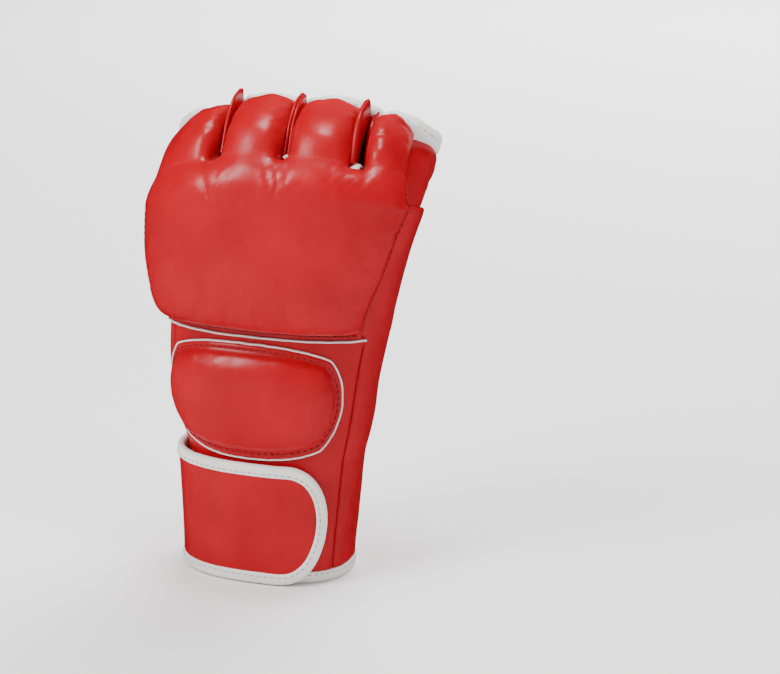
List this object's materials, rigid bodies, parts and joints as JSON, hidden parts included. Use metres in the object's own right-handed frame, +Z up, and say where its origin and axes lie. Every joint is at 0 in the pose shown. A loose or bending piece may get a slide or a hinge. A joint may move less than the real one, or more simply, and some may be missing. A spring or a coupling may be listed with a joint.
{
  "type": "mma glove",
  "caption": "Half-finger grappling glove with a curved foam knuckle pad, a wrist pad, open palm, separate finger stalls and a hook-and-loop wrist strap.",
  "frame": {"origin": "centre of the footprint, on the plane the cuff stands on", "axes": "+Z up the hand to the fingertips, -Y out of the back of the hand, +X to the thumb side"},
  "size_m": [0.1321, 0.1059, 0.2476],
  "materials": {
    "red_leather": "satin",
    "white_binding": "satin",
    "foam": "matte",
    "lining": "matte",
    "hook_tape": "matte",
    "loop_tape": "matte"
  },
  "bodies": {
    "hand": {"back_panel": "red_leather", "back_lining": "lining", "thumb_side_panel": "red_leather", "pinky_side_panel": "red_leather", "thumb_wrist_flap": "red_leather", "pinky_wrist_flap": "red_leather", "palm_band": "red_leather", "cuff_binding": "white_binding", "palm_band_binding": "white_binding", "thumb_edge_binding": "white_binding", "pinky_edge_binding": "white_binding", "thumb_flap_binding": "white_binding", "pinky_flap_binding": "white_binding", "knuckle_pad_foam": "foam", "knuckle_pad_cover": "red_leather", "pad_seam_welt": "white_binding", "crotch_binding_pinky_ring": "white_binding", "crotch_binding_ring_middle": "white_binding", "crotch_binding_middle_index": "white_binding", "wrist_pad_foam": "foam", "wrist_pad_cover": "red_leather", "wrist_pad_flange": "red_leather", "strap_root": "red_leather", "strap_root_lower_binding": "white_binding", "strap_root_upper_binding": "white_binding", "loop_tape": "loop_tape"},
    "pinky_finger": {"pinky_stall": "red_leather", "pinky_pad_foam": "foam", "pinky_pad_cover": "red_leather", "pinky_end_binding": "white_binding"},
    "ring_finger": {"ring_stall": "red_leather", "ring_pad_foam": "foam", "ring_pad_cover": "red_leather", "ring_end_binding": "white_binding"},
    "middle_finger": {"middle_stall": "red_leather", "middle_pad_foam": "foam", "middle_pad_cover": "red_leather", "middle_end_binding": "white_binding"},
    "index_finger": {"index_stall": "red_leather", "index_pad_foam": "foam", "index_pad_cover": "red_leather", "index_end_binding": "white_binding"},
    "strap_middle": {"strap_band": "red_leather", "strap_band_lower_binding": "white_binding", "strap_band_upper_binding": "white_binding"},
    "strap_end": {"strap_tip": "red_leather", "strap_tip_binding": "white_binding", "hook_tape": "hook_tape"}
  },
  "joints": [
    {"name": "pinky_curl", "type": "hinge", "parent": "hand", "child": "pinky_finger", "pos_m": [-0.04665, 0.01248, 0.195], "axis": [-1, 0, 0], "range_deg": [0, 30], "stiffness_Nm_per_rad": 0.3},
    {"name": "ring_curl", "type": "hinge", "parent": "hand", "child": "ring_finger", "pos_m": [-0.01015, 0.00436, 0.203], "axis": [-1, 0, 0], "range_deg": [0, 30], "stiffness_Nm_per_rad": 0.3},
    {"name": "middle_curl", "type": "hinge", "parent": "hand", "child": "middle_finger", "pos_m": [0.02335, 0.00513, 0.203], "axis": [-1, 0, 0], "range_deg": [0, 30], "stiffness_Nm_per_rad": 0.3},
    {"name": "index_curl", "type": "hinge", "parent": "hand", "child": "index_finger", "pos_m": [0.05635, 0.01737, 0.198], "axis": [-1, 0, 0], "range_deg": [0, 30], "stiffness_Nm_per_rad": 0.3},
    {"name": "strap_swing", "type": "hinge", "parent": "hand", "child": "strap_middle", "pos_m": [-0.05119, 0.01072, 0.031], "axis": [0.0647, 0, -0.9979], "range_deg": [0, 110]},
    {"name": "strap_peel", "type": "hinge", "parent": "strap_middle", "child": "strap_end", "pos_m": [-0.01365, -0.02645, 0.031], "axis": [0.0125, 0, -0.9999], "range_deg": [0, 60]}
  ]
}
